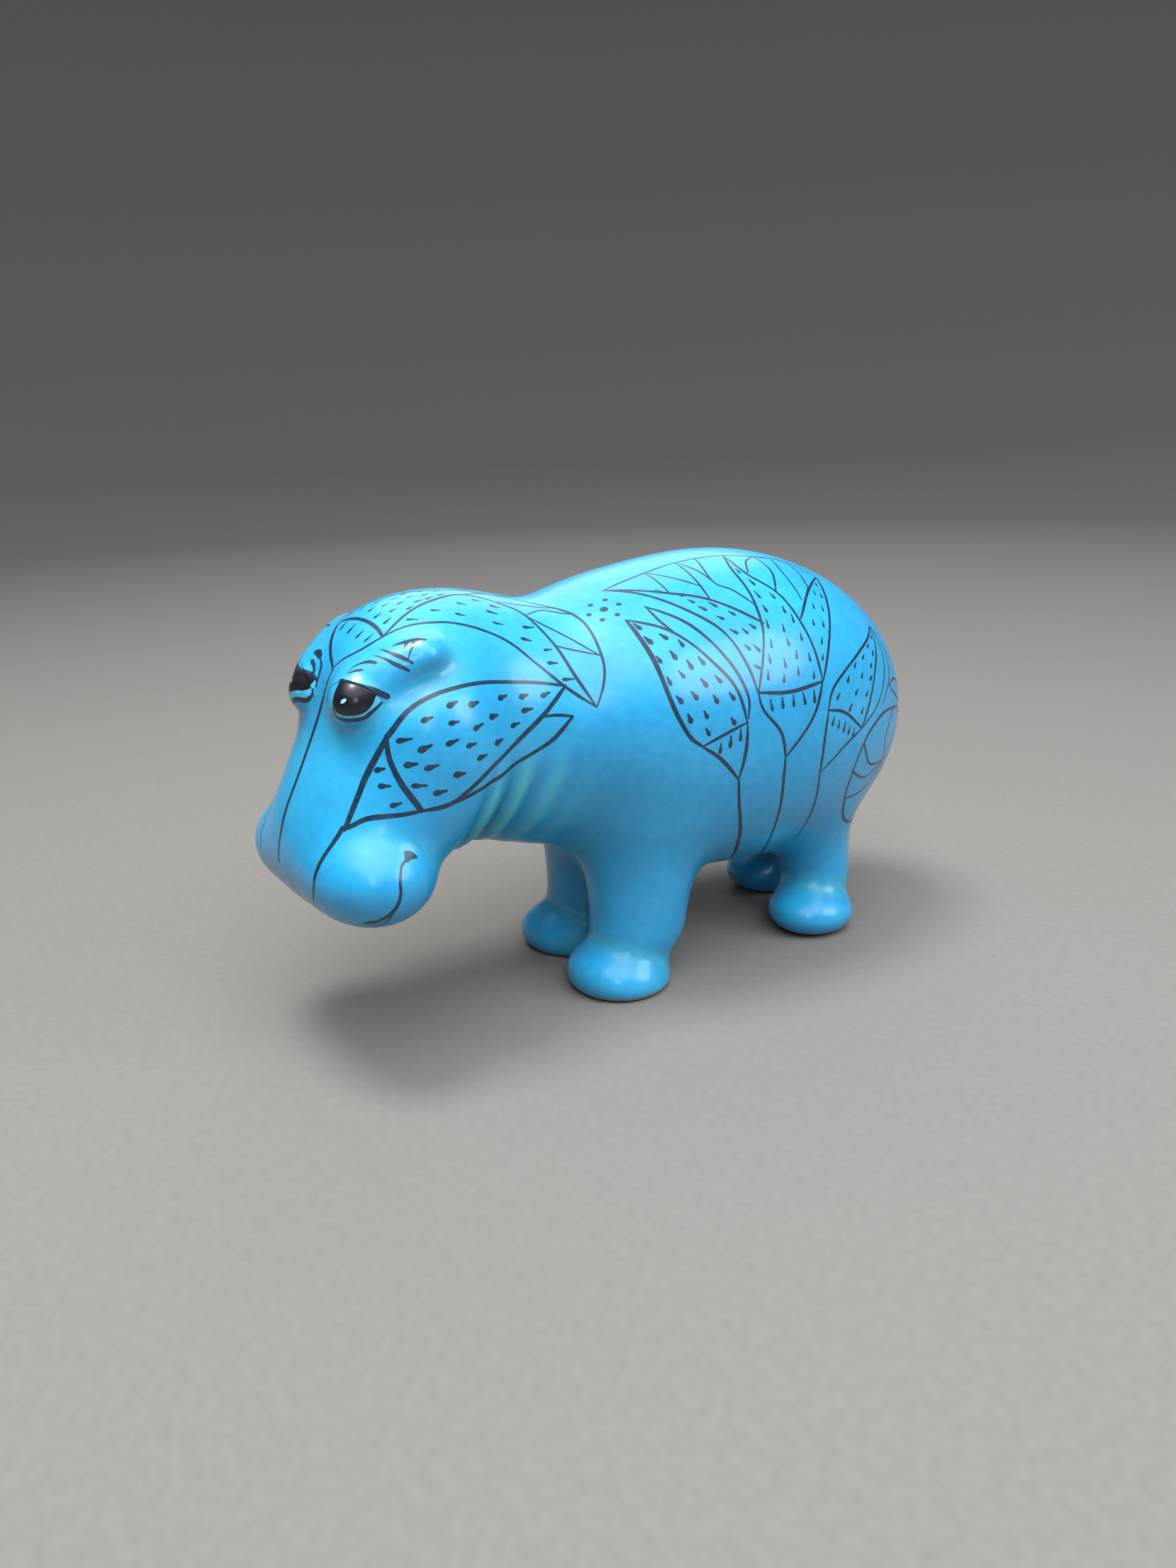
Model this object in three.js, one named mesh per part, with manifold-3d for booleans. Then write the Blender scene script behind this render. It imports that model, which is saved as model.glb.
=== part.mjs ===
// A standing hippopotamus in glazed ceramic: one hollow-cast piece, shown here as a closed solid.
// It faces -Y with +Z up, its left side is at +X, and it stands at z = 0.
import * as THREE from 'three';
import { mergeVertices } from 'three/addons/utils/BufferGeometryUtils.js';
import Module from 'manifold-3d';

// Driving dimensions in mm, each free to change by itself
const length = 200;    // from the lips to the tail
const width = 83.6;    // across the barrel, or the muzzle where that is wider
const height = 117.2;  // from the soles to the top of the back

// The forms keep their proportions in a table of their own: from here on, places, radii and blends are
// in shares of the box below, which the dimensions above stretch to size, and angles are in degrees. A
// blend is the width over which a form runs into what is already there. A form with side true is
// repeated on the right, and one with carved true is taken away.
const inShares = { width: 42.41, length: 101.46, height: 59.46 };
const middle = 0.28;  // the middle of the length along Y, which goes to the origin
const headPivot = [1.7, -20.4];
const headTurn = 4.7;
const trunk = [
  { name: 'barrel', at: [0, 14.1, 36.3], radii: [21.1, 27.8, 23.1], pitch: 4.3, blend: 0 },
  { name: 'rump', at: [0, 28.5, 33.3], radii: [16.9, 21.8, 20.5], pitch: -3.1, blend: 12 },
  { name: 'shoulder', at: [0, -2.5, 38.9], radii: [19.3, 16.3, 16.8], pitch: 0, blend: 12 },
  { name: 'neck', at: [0.5, -19.7, 40], radii: [13.6, 22, 15.8], pitch: -31.7, blend: 10 },
];
const head = [
  { name: 'skull', at: [0, -31.6, 41.3], radii: [15.5, 10.6, 13.9], pitch: 12.3, blend: 9 },
  { name: 'snout', at: [0, -37.3, 32.9], radii: [13.9, 15.3, 10], pitch: 46, blend: 10 },
  { name: 'lip', at: [8.5, -42.1, 26.1], radii: [8.6, 7.6, 6.1], pitch: -3.9, blend: 5, side: true },
  {
    name: 'ear hollow', from: [11.8, -37.3, 49.4], to: [12, -32.9, 51.2], radii: [1.2, 1.1], blend: 6,
    side: true, carved: true,
  },
  { name: 'left brow and ear', from: [5.6, -39.9, 47.8], to: [9.9, -33.4, 51.9], radii: [3.2, 2], blend: 5 },
  { name: 'right brow and ear', from: [-5.6, -39.9, 47.8], to: [-10.9, -34.1, 52.1], radii: [3.2, 1.9], blend: 6 },
  { name: 'left eye', at: [6.7, -40.9, 46.9], radii: [3.3, 3.4, 3.1], pitch: 0, blend: 1.2 },
  { name: 'right eye', at: [-4.3, -41.5, 46.7], radii: [3.3, 3.4, 3.1], pitch: 0, blend: 1.2 },
];
const tail = [
  { from: [0, 47.5, 41.5], to: [0, 49.3, 34.5], radii: [1.2, 1.4], blend: 1.5 },
  { from: [0, 49.3, 34.5], to: [0, 48.2, 27], radii: [1.4, 1.1], blend: 1.5 },
];
const legs = [
  {
    name: 'fore', from: [7.9, 0.2, 25], to: [7.5, -0.7, 9.8], radii: [8.4, 7], blend: 8,
    foot: { at: [8.4, -4.8, 1.6], radii: [7.5, 7.4, 4.6], pitch: -10.5, blend: 6 }, setBack: 1.3,
  },
  {
    name: 'hind', from: [7.6, 30.8, 22], to: [6.1, 33.5, 9.5], radii: [5.9, 5.3], blend: 6,
    foot: { at: [8.9, 30.4, 2.9], radii: [6.1, 6.8, 3.8], pitch: -6.1, blend: 7 }, setBack: 5.1,
  },
];
// Folds of the neck, as waves along a line that leans forward and up. They are deepest behind the jaw,
// and fade out toward the chest, above the cheek and under the middle of the throat.
const folds = {
  lean: 15, crest: 33.6, pitch: 4.3, depth: 0.27, along: [18, 31, 35, 36.8], fade: [32, 40], throat: [1.5, 8],
};

// The facets: the first net's cell, how far an edge may run off the form, and the shortest edge split
const facet = { first: 3.4, miss: 0.085, shortest: 0.8 };
// The room the figure stands in, by its low and high corners
const room = { low: [-30.6, -61, -7], high: [30, 60, 67] };

const radians = THREE.MathUtils.degToRad;

// Signed distance to an ellipsoid, turned about the X axis by its pitch
function ellipsoid(p, form) {
  const c = Math.cos(radians(form.pitch));
  const s = Math.sin(radians(form.pitch));
  const x = p[0] - form.at[0];
  const y = p[1] - form.at[1];
  const z = p[2] - form.at[2];
  const a = x / form.radii[0];
  const b = (y * c + z * s) / form.radii[1];
  const d = (z * c - y * s) / form.radii[2];
  const near = Math.hypot(a, b, d) + 1e-9;
  const steep = Math.hypot(a / form.radii[0], b / form.radii[1], d / form.radii[2]) + 1e-9;
  return near * (near - 1) / steep;
}

// Signed distance to a limb that tapers between two balls
function limb(p, form) {
  const [a, b] = [form.from, form.to];
  const run = [b[0] - a[0], b[1] - a[1], b[2] - a[2]];
  const rel = [p[0] - a[0], p[1] - a[1], p[2] - a[2]];
  const reach = Math.hypot(...run);
  const off = (t) => Math.hypot(rel[0] - t * run[0], rel[1] - t * run[1], rel[2] - t * run[2]);
  const foot = (rel[0] * run[0] + rel[1] * run[1] + rel[2] * run[2]) / reach ** 2;
  const growth = (form.radii[1] - form.radii[0]) / reach;
  const t = foot + growth * off(foot) / (reach * Math.sqrt(1 - growth ** 2));
  const near = Math.min(1, Math.max(0, t));
  return off(near) - (form.radii[0] + (form.radii[1] - form.radii[0]) * near);
}

const shape = (p, form) => (form.at ? ellipsoid(p, form) : limb(p, form));
const mirrored = (p) => [-p[0], p[1], p[2]];

// Union of two distances that rounds the corner between them over the blend
function join(a, b, blend) {
  if (blend === 0) return Math.min(a, b);
  const h = Math.max(blend - Math.abs(a - b), 0) / blend;
  return Math.min(a, b) - h ** 3 * blend / 6;
}

// A place seen from the turned head
function inHead(p) {
  const c = Math.cos(radians(headTurn));
  const s = Math.sin(radians(headTurn));
  const x = p[0] - headPivot[0];
  const y = p[1] - headPivot[1];
  return [x * c + y * s, y * c - x * s + headPivot[1], p[2]];
}

const ramp = (x, low, high) => THREE.MathUtils.smoothstep(x, low, high);

// How far the throat's folds lift the skin at a place
function foldHeight(p) {
  const lean = radians(folds.lean);
  const s = p[2] * Math.sin(lean) - p[1] * Math.cos(lean);
  const [start, full, jaw, end] = folds.along;
  const sides = ramp(Math.abs(p[0]), ...folds.throat) * (1 - ramp(p[2], ...folds.fade));
  const weight = ramp(s, start, full) * (1 - ramp(s, jaw, end)) * sides;
  return weight * folds.depth * Math.cos(2 * Math.PI * (s - folds.crest) / folds.pitch);
}

// The signed distance to the whole figure, soles not yet cut
function figure(p) {
  let d = Infinity;
  for (const form of trunk) {
    d = join(d, shape(p, form), form.blend);
  }
  const h = inHead(p);
  for (const form of head) {
    for (const side of form.side ? [h, mirrored(h)] : [h]) {
      const solid = shape(side, form);
      d = form.carved ? -join(-d, solid, form.blend) : join(d, solid, form.blend);
    }
  }
  d -= foldHeight(p);
  for (const stretch of tail) {
    d = join(d, limb(p, stretch), stretch.blend);
  }
  for (const leg of legs) {
    const right = mirrored([p[0], p[1] - leg.setBack, p[2]]);
    for (const side of [p, right]) {
      d = join(d, join(limb(side, leg), ellipsoid(side, leg.foot), leg.foot.blend), leg.blend);
    }
  }
  return d;
}

// The figure's slope by central differences
function slope(p) {
  const e = 0.01;
  const g = [0, 0, 0];
  for (let k = 0; k < 3; k++) {
    const more = [...p];
    const less = [...p];
    more[k] += e;
    less[k] -= e;
    g[k] = (figure(more) - figure(less)) / (2 * e);
  }
  return g;
}

// Moves a point onto the surface
function settle(p) {
  let q = p;
  for (let i = 0; i < 5; i++) {
    const d = figure(q);
    const g = slope(q);
    const size = g[0] ** 2 + g[1] ** 2 + g[2] ** 2 + 1e-9;
    q = q.map((v, k) => v - Math.max(-1, Math.min(1, d / size)) * g[k]);
  }
  return q;
}

// A first closed net of facets: one point in each cell that the surface crosses
function firstNet(low, high, step) {
  const n = low.map((v, k) => Math.ceil((high[k] - v) / step) + 1);
  const at = (i, j, k) => i + n[0] * (j + n[1] * k);
  const value = new Float64Array(n[0] * n[1] * n[2]);
  for (let k = 0; k < n[2]; k++) {
    for (let j = 0; j < n[1]; j++) {
      for (let i = 0; i < n[0]; i++) {
        value[at(i, j, k)] = figure([low[0] + i * step, low[1] + j * step, low[2] + k * step]);
      }
    }
  }
  const points = [];
  const cell = new Map();
  for (let k = 0; k < n[2] - 1; k++) {
    for (let j = 0; j < n[1] - 1; j++) {
      for (let i = 0; i < n[0] - 1; i++) {
        const sum = [0, 0, 0];
        let crossings = 0;
        for (let axis = 0; axis < 3; axis++) {
          for (let corner = 0; corner < 4; corner++) {
            const start = [0, 0, 0];
            start[(axis + 1) % 3] = corner & 1;
            start[(axis + 2) % 3] = corner >> 1;
            const end = [...start];
            end[axis] = 1;
            const a = value[at(i + start[0], j + start[1], k + start[2])];
            const b = value[at(i + end[0], j + end[1], k + end[2])];
            if (a < 0 === b < 0) continue;
            start[axis] = a / (a - b);
            for (let m = 0; m < 3; m++) sum[m] += start[m];
            crossings++;
          }
        }
        if (crossings === 0) continue;
        cell.set(at(i, j, k), points.length);
        points.push([i, j, k].map((v, m) => low[m] + (v + sum[m] / crossings) * step));
      }
    }
  }
  const faces = [];
  const strides = [at(1, 0, 0), at(0, 1, 0), at(0, 0, 1)];
  for (let k = 1; k < n[2] - 1; k++) {
    for (let j = 1; j < n[1] - 1; j++) {
      for (let i = 1; i < n[0] - 1; i++) {
        const here = at(i, j, k);
        for (let axis = 0; axis < 3; axis++) {
          const inside = value[here] < 0;
          if (inside === value[here + strides[axis]] < 0) continue;
          const u = strides[(axis + 1) % 3];
          const v = strides[(axis + 2) % 3];
          const ring = [here, here - u, here - u - v, here - v].map((c) => cell.get(c));
          if (!inside) ring.reverse();
          const [p, q, r, s] = ring;
          if (apart(points[p], points[r]) < apart(points[q], points[s])) {
            faces.push([p, q, r], [p, r, s]);
          } else {
            faces.push([q, r, s], [q, s, p]);
          }
        }
      }
    }
  }
  return { points: points.map(settle), faces };
}

const apart = (a, b) => Math.hypot(a[0] - b[0], a[1] - b[1], a[2] - b[2]);
const halfway = (a, b) => a.map((v, k) => (v + b[k]) / 2);
const edgeKey = (a, b) => (a < b ? `${a} ${b}` : `${b} ${a}`);

// Splits each edge that runs too far off the form, and the faces beside it
function refine(net) {
  const points = [...net.points];
  const middle = new Map();
  for (const face of net.faces) {
    for (let i = 0; i < 3; i++) {
      const [a, b] = [face[i], face[(i + 1) % 3]];
      const key = edgeKey(a, b);
      if (middle.has(key)) continue;
      const mid = halfway(points[a], points[b]);
      const miss = Math.abs(figure(mid)) / Math.hypot(...slope(mid));
      if (miss < facet.miss || apart(points[a], points[b]) < facet.shortest) {
        middle.set(key, -1);
        continue;
      }
      middle.set(key, points.length);
      points.push(settle(mid));
    }
  }
  const faces = [];
  for (const face of net.faces) {
    const mids = [0, 1, 2].map((i) => middle.get(edgeKey(face[i], face[(i + 1) % 3])));
    const split = mids.filter((m) => m >= 0).length;
    if (split === 0) {
      faces.push(face);
    } else if (split === 3) {
      const [a, b, c] = face;
      const [ab, bc, ca] = mids;
      faces.push([a, ab, ca], [ab, b, bc], [ca, bc, c], [ab, bc, ca]);
    } else if (split === 1) {
      const i = mids.findIndex((m) => m >= 0);
      const [a, b, c] = [face[i], face[(i + 1) % 3], face[(i + 2) % 3]];
      faces.push([a, mids[i], c], [mids[i], b, c]);
    } else {
      const i = (mids.findIndex((m) => m < 0) + 1) % 3;
      const [a, b, c] = [face[i], face[(i + 1) % 3], face[(i + 2) % 3]];
      const [ab, bc] = [mids[i], mids[(i + 1) % 3]];
      faces.push([ab, b, bc]);
      if (apart(points[a], points[bc]) < apart(points[ab], points[c])) {
        faces.push([a, ab, bc], [a, bc, c]);
      } else {
        faces.push([a, ab, c], [ab, bc, c]);
      }
    }
  }
  return { points, faces };
}

// Turns the edge between two faces where the other diagonal is shorter
function turnEdges(net) {
  const faces = net.faces.map((face) => [...face]);
  const beside = new Map();
  faces.forEach((face, f) => {
    for (let i = 0; i < 3; i++) beside.set(`${face[i]} ${face[(i + 1) % 3]}`, f);
  });
  for (let f = 0; f < faces.length; f++) {
    for (let i = 0; i < 3; i++) {
      const [a, b, c] = [faces[f][i], faces[f][(i + 1) % 3], faces[f][(i + 2) % 3]];
      const g = beside.get(`${b} ${a}`);
      const d = faces[g].find((v) => v !== a && v !== b);
      if (beside.has(`${c} ${d}`) || beside.has(`${d} ${c}`)) continue;
      if (apart(net.points[c], net.points[d]) > 0.95 * apart(net.points[a], net.points[b])) continue;
      if (facing(net.points, [a, d, c], [d, b, c]) < 0.8) continue;
      beside.delete(`${a} ${b}`);
      beside.delete(`${b} ${a}`);
      faces[f] = [a, d, c];
      faces[g] = [d, b, c];
      for (const h of [f, g]) {
        for (let j = 0; j < 3; j++) beside.set(`${faces[h][j]} ${faces[h][(j + 1) % 3]}`, h);
      }
      break;
    }
  }
  return { points: net.points, faces };
}

// How nearly two faces look the same way: 1 where they are level with each other
function facing(points, one, other) {
  const normals = [one, other].map(([a, b, c]) => {
    const [p, q, r] = [a, b, c].map((v) => new THREE.Vector3(...points[v]));
    return q.sub(p).cross(r.sub(p)).normalize();
  });
  return normals[0].dot(normals[1]);
}

// Evens out the facets: each point goes halfway to its neighbours' middle and back onto the form
function relax(net) {
  const sum = net.points.map(() => [0, 0, 0, 0]);
  for (const face of net.faces) {
    for (let i = 0; i < 3; i++) {
      const q = net.points[face[(i + 1) % 3]];
      for (let k = 0; k < 3; k++) sum[face[i]][k] += q[k];
      sum[face[i]][3]++;
    }
  }
  const points = net.points.map((p, i) => settle(p.map((v, k) => (v + sum[i][k] / sum[i][3]) / 2)));
  return { points, faces: net.faces };
}

// Takes out the edges that the cut of the soles left too short
function weld(net, shortest) {
  const points = net.points;
  let faces = net.faces;
  const round = points.map(() => new Set());
  for (const face of faces) {
    for (let i = 0; i < 3; i++) {
      round[face[i]].add(face[(i + 1) % 3]);
      round[face[i]].add(face[(i + 2) % 3]);
    }
  }
  for (let a = 0; a < points.length; a++) {
    for (const b of round[a]) {
      if (apart(points[a], points[b]) > shortest || points[a][2] > points[b][2]) continue;
      if ([...round[a]].filter((v) => round[b].has(v)).length !== 2) continue;
      for (const v of round[b]) {
        round[v].delete(b);
        if (v !== a) {
          round[v].add(a);
          round[a].add(v);
        }
      }
      round[b].clear();
      faces = faces.map((face) => face.map((v) => (v === b ? a : v)));
    }
  }
  return { points, faces: faces.filter(([a, b, c]) => a !== b && b !== c && c !== a) };
}

const wasm = await Module();
wasm.setup();

function solidOf(geometry) {
  geometry.deleteAttribute('normal');
  geometry.deleteAttribute('uv');
  const merged = mergeVertices(geometry, 1e-4);
  return new wasm.Manifold(new wasm.Mesh({
    numProp: 3,
    vertProperties: new Float32Array(merged.attributes.position.array),
    triVerts: new Uint32Array(merged.index.array),
  }));
}

function geometryOf(net) {
  const geometry = new THREE.BufferGeometry();
  geometry.setAttribute('position', new THREE.Float32BufferAttribute(net.points.flat(), 3));
  geometry.setIndex(net.faces.flat());
  return geometry;
}

function netOf(solid) {
  const mesh = solid.getMesh();
  const rows = (flat) => Array.from({ length: flat.length / 3 }, (_, i) => [...flat.slice(3 * i, 3 * i + 3)]);
  return { points: rows(mesh.vertProperties), faces: rows(mesh.triVerts) };
}

function hippoGeometry() {
  let net = firstNet(room.low, room.high, facet.first);
  for (let pass = 0; pass < 3; pass++) {
    net = relax(turnEdges(refine(net)));
  }
  const body = geometryOf(relax(turnEdges(net)));
  body.translate(0, -middle, 0);
  body.scale(width / inShares.width, length / inShares.length, height / inShares.height);
  const ground = new THREE.BoxGeometry(length, 2 * length, length);
  ground.translate(0, 0, -length / 2);
  const cut = netOf(solidOf(body).subtract(solidOf(ground)));
  return geometryOf(weld(cut, facet.shortest * length / inShares.length / 6));
}

const glaze = new THREE.MeshStandardMaterial({ color: 0x2aa6d6, roughness: 0.15, metalness: 0 });
const hippo = new THREE.Mesh(hippoGeometry(), glaze);
hippo.name = 'hippo';

const group = new THREE.Group();
group.add(hippo);
export default group;
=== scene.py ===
import math
import random

import bmesh
import bpy
import numpy as np
from mathutils import Matrix, Vector
from mathutils.geometry import convex_hull_2d, delaunay_2d_cdt
from mathutils.kdtree import KDTree


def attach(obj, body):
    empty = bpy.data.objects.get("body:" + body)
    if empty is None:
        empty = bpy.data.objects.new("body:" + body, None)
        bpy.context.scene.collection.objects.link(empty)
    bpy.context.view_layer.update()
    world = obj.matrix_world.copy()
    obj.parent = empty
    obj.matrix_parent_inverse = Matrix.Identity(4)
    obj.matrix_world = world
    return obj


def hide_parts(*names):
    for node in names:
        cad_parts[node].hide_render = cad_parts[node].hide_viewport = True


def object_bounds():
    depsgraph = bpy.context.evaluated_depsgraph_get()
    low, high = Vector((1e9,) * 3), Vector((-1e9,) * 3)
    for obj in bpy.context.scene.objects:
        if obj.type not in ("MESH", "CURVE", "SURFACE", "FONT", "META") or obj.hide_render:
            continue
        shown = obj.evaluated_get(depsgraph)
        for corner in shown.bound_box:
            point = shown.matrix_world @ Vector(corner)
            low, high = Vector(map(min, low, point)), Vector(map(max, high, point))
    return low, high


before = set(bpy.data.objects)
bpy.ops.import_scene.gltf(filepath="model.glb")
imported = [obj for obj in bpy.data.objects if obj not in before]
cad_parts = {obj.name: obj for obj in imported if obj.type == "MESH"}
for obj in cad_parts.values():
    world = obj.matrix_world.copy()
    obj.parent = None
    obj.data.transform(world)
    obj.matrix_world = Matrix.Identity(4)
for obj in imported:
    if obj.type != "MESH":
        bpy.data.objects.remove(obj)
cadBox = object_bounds()
hand = random.Random(11)  # the painter's unsteady hand, the same on each run
print("frame loaded")

# Camera: a phone held a little above the figure, on its left and in front

cameraSetup = {
    "target": (-0.02706, 0.00718, 0.04486),  # metres
    "distance": 0.3682,
    "azimuth": 60.46,  # degrees round from the figure's front to its left
    "elevation": 17.12,
    "roll": -2.07,
    "lens": 27.16,  # mm, on a 36 mm long side
}


def placeCamera(setup):
    azimuth, elevation, roll = (math.radians(setup[k]) for k in ("azimuth", "elevation", "roll"))
    level = math.cos(elevation)
    back = Vector((math.sin(azimuth) * level, -math.cos(azimuth) * level, math.sin(elevation)))
    right = Vector((0, 0, 1)).cross(back).normalized()
    up = back.cross(right)
    x = right * math.cos(roll) + up * math.sin(roll)
    y = up * math.cos(roll) - right * math.sin(roll)
    data = bpy.data.cameras.new("photoCamera")
    data.sensor_width = 36
    data.lens = setup["lens"]
    data.clip_start = 0.01
    camera = bpy.data.objects.new("photoCamera", data)
    bpy.context.scene.collection.objects.link(camera)
    place = Matrix((x, y, back)).transposed().to_4x4()
    place.translation = Vector(setup["target"]) + back * setup["distance"]
    camera.matrix_world = place
    bpy.context.scene.camera = camera


placeCamera(cameraSetup)

# The figure's form, in shares of its length as the CAD part has it

hippoForm = {
    "length": 200,  # mm
    "lengthInShares": 101.46,
    "middle": 0.28,
    "headPivot": (1.7, -20.4),
    "headTurn": 4.7,  # degrees
    "trunk": [
        {"at": (0, 14.1, 36.3), "radii": (21.1, 27.8, 23.1), "pitch": 4.3, "blend": 0},
        {"at": (0, 28.5, 33.3), "radii": (16.9, 21.8, 20.5), "pitch": -3.1, "blend": 12},
        {"at": (0, -2.5, 38.9), "radii": (19.3, 16.3, 16.8), "pitch": 0, "blend": 12},
        {"at": (0.5, -19.7, 40), "radii": (13.6, 22, 15.8), "pitch": -31.7, "blend": 10},
    ],
    "head": [
        {"at": (0, -31.6, 41.3), "radii": (15.5, 10.6, 13.9), "pitch": 12.3, "blend": 9},
        {"at": (0, -37.3, 32.9), "radii": (13.9, 15.3, 10), "pitch": 46, "blend": 10},
        {"at": (8.5, -42.1, 26.1), "radii": (8.6, 7.6, 6.1), "pitch": -3.9, "blend": 5, "side": True},
        {
            "from": (11.8, -37.3, 49.4), "to": (12, -32.9, 51.2), "radii": (1.2, 1.1), "blend": 6,
            "side": True, "carved": True,
        },
        {"from": (5.6, -39.9, 47.8), "to": (9.9, -33.4, 51.9), "radii": (3.2, 2), "blend": 5},
        {"from": (-5.6, -39.9, 47.8), "to": (-10.9, -34.1, 52.1), "radii": (3.2, 1.9), "blend": 6},
    ],
    "eyes": [
        {"at": (6.7, -40.9, 46.9), "radii": (3.3, 3.4, 3.1), "pitch": 0, "blend": 1.2},
        {"at": (-4.3, -41.5, 46.7), "radii": (3.3, 3.4, 3.1), "pitch": 0, "blend": 1.2},
    ],
    "tail": [
        {"from": (0, 47.5, 41.5), "to": (0, 49.3, 34.5), "radii": (1.2, 1.4), "blend": 1.5},
        {"from": (0, 49.3, 34.5), "to": (0, 48.2, 27), "radii": (1.4, 1.1), "blend": 1.5},
    ],
    "legs": [
        {
            "from": (7.9, 0.2, 25), "to": (7.5, -0.7, 9.8), "radii": (8.4, 7), "blend": 8, "setBack": 1.3,
            "foot": {"at": (8.4, -4.8, 1.6), "radii": (7.5, 7.4, 4.6), "pitch": -10.5, "blend": 6},
        },
        {
            "from": (7.6, 30.8, 22), "to": (6.1, 33.5, 9.5), "radii": (5.9, 5.3), "blend": 6, "setBack": 5.1,
            "foot": {"at": (8.9, 30.4, 2.9), "radii": (6.1, 6.8, 3.8), "pitch": -6.1, "blend": 7},
        },
    ],
    "folds": {
        "lean": 15, "crest": 33.6, "pitch": 4.3, "depth": 0.27,
        "along": (18, 31, 35, 36.8), "fade": (32, 40), "throat": (1.5, 8),
    },
    # heavy lids: the brow comes down over each eyeball to a straight edge through these two corners
    "lids": [
        {
            "at": (6.7, -40.9, 46.9), "radii": (3.7, 3.8, 3.5), "pitch": 0,
            "corners": ((6.8, -42.8, 49.7), (10.2, -40.1, 48.7)),
        },
        {
            "at": (-4.3, -41.5, 46.7), "radii": (3.7, 3.8, 3.5), "pitch": 0,
            "corners": ((-7.8, -40.7, 48.5), (-3.4, -43.1, 49.4)),
        },
    ],
    "lidFlow": 2.6,  # how softly the brow runs into the lid
    "lidBlend": 0.3,  # how softly the lid's edge meets the eyeball
    "soleBlend": 1.4,  # how round the edge of each sole is
}
share = hippoForm["length"] / hippoForm["lengthInShares"]


def shapeDistance(p, form):
    if "at" in form:
        c, s = math.cos(math.radians(form["pitch"])), math.sin(math.radians(form["pitch"]))
        q = p - np.array(form["at"])
        radii = form["radii"]
        a = q[:, 0] / radii[0]
        b = (q[:, 1] * c + q[:, 2] * s) / radii[1]
        d = (q[:, 2] * c - q[:, 1] * s) / radii[2]
        near = np.sqrt(a * a + b * b + d * d) + 1e-9
        steep = np.sqrt((a / radii[0]) ** 2 + (b / radii[1]) ** 2 + (d / radii[2]) ** 2) + 1e-9
        return near * (near - 1) / steep
    start = np.array(form["from"], float)
    run = np.array(form["to"], float) - start
    reach = np.linalg.norm(run)
    r0, r1 = form["radii"]
    growth = (r1 - r0) / reach
    t = ((p - start) @ run) / reach ** 2
    off = np.linalg.norm(p - start - t[:, None] * run, axis=1)
    t = np.clip(t + growth * off / (reach * math.sqrt(1 - growth ** 2)), 0, 1)
    return np.linalg.norm(p - start - t[:, None] * run, axis=1) - (r0 + (r1 - r0) * t)


def join(a, b, blend):
    if blend == 0:
        return np.minimum(a, b)
    h = np.maximum(blend - np.abs(a - b), 0) / blend
    return np.minimum(a, b) - h ** 3 * blend / 6


def ramp(x, low, high):
    t = np.clip((x - low) / (high - low), 0, 1)
    return t * t * (3 - 2 * t)


def turnHead(p, degrees):
    c, s = math.cos(math.radians(degrees)), math.sin(math.radians(degrees))
    return np.stack([p[:, 0] * c + p[:, 1] * s, p[:, 1] * c - p[:, 0] * s, p[:, 2]], 1)


def inHead(p):
    px, py = hippoForm["headPivot"]
    return turnHead(p - (px, py, 0), hippoForm["headTurn"]) + (0, py, 0)


def outOfHead(p):
    px, py = hippoForm["headPivot"]
    return turnHead(p - (0, py, 0), -hippoForm["headTurn"]) + (px, py, 0)


def foldHeight(p):
    folds = hippoForm["folds"]
    lean = math.radians(folds["lean"])
    s = p[:, 2] * math.sin(lean) - p[:, 1] * math.cos(lean)
    start, full, jaw, end = folds["along"]
    sides = ramp(np.abs(p[:, 0]), *folds["throat"]) * (1 - ramp(p[:, 2], *folds["fade"]))
    weight = ramp(s, start, full) * (1 - ramp(s, jaw, end)) * sides
    wave = np.cos(2 * math.pi * (s - folds["crest"]) / folds["pitch"])
    return weight * folds["depth"] * wave


def lidDistance(p, lid, bare):  # what lies above the lid's edge, where brow and lid are one
    centre = np.array(lid["at"], float)
    inner, outer = (np.array(c, float) - centre for c in lid["corners"])
    normal = np.cross(inner, outer)
    normal /= np.linalg.norm(normal)
    brow = join(bare, shapeDistance(p, lid), hippoForm["lidFlow"])
    brow = brow + hippoForm["lidBlend"]  # so that it fades out beyond the lid
    return np.maximum(brow, -(p - centre) @ normal)


def figure(p):  # signed distance to the whole figure, in shares
    mirror = np.array((-1.0, 1, 1))
    d = shapeDistance(p, hippoForm["trunk"][0])
    for form in hippoForm["trunk"][1:]:
        d = join(d, shapeDistance(p, form), form["blend"])
    h = inHead(p)
    for form in hippoForm["head"]:
        for side in (h, h * mirror) if form.get("side") else (h,):
            solid = shapeDistance(side, form)
            d = -join(-d, solid, form["blend"]) if form.get("carved") else join(d, solid, form["blend"])
    bare = d
    for eye in hippoForm["eyes"]:
        d = join(d, shapeDistance(h, eye), eye["blend"])
    for lid in hippoForm["lids"]:
        d = join(d, lidDistance(h, lid, bare), hippoForm["lidBlend"])
    d = d - foldHeight(p)
    for form in hippoForm["tail"]:
        d = join(d, shapeDistance(p, form), form["blend"])
    for leg in hippoForm["legs"]:
        for side in (p, (p - (0, leg["setBack"], 0)) * mirror):
            lower = join(shapeDistance(side, leg), shapeDistance(side, leg["foot"]), leg["foot"]["blend"])
            d = join(d, lower, leg["blend"])
    return -join(-d, p[:, 2], hippoForm["soleBlend"])


def toShares(points):  # mm in the frame to the form's own shares
    return points / share + (0, hippoForm["middle"], 0)


def toFrame(p):
    return (p - (0, hippoForm["middle"], 0)) * share


def depth(points):
    return figure(toShares(points)) * share


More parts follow.
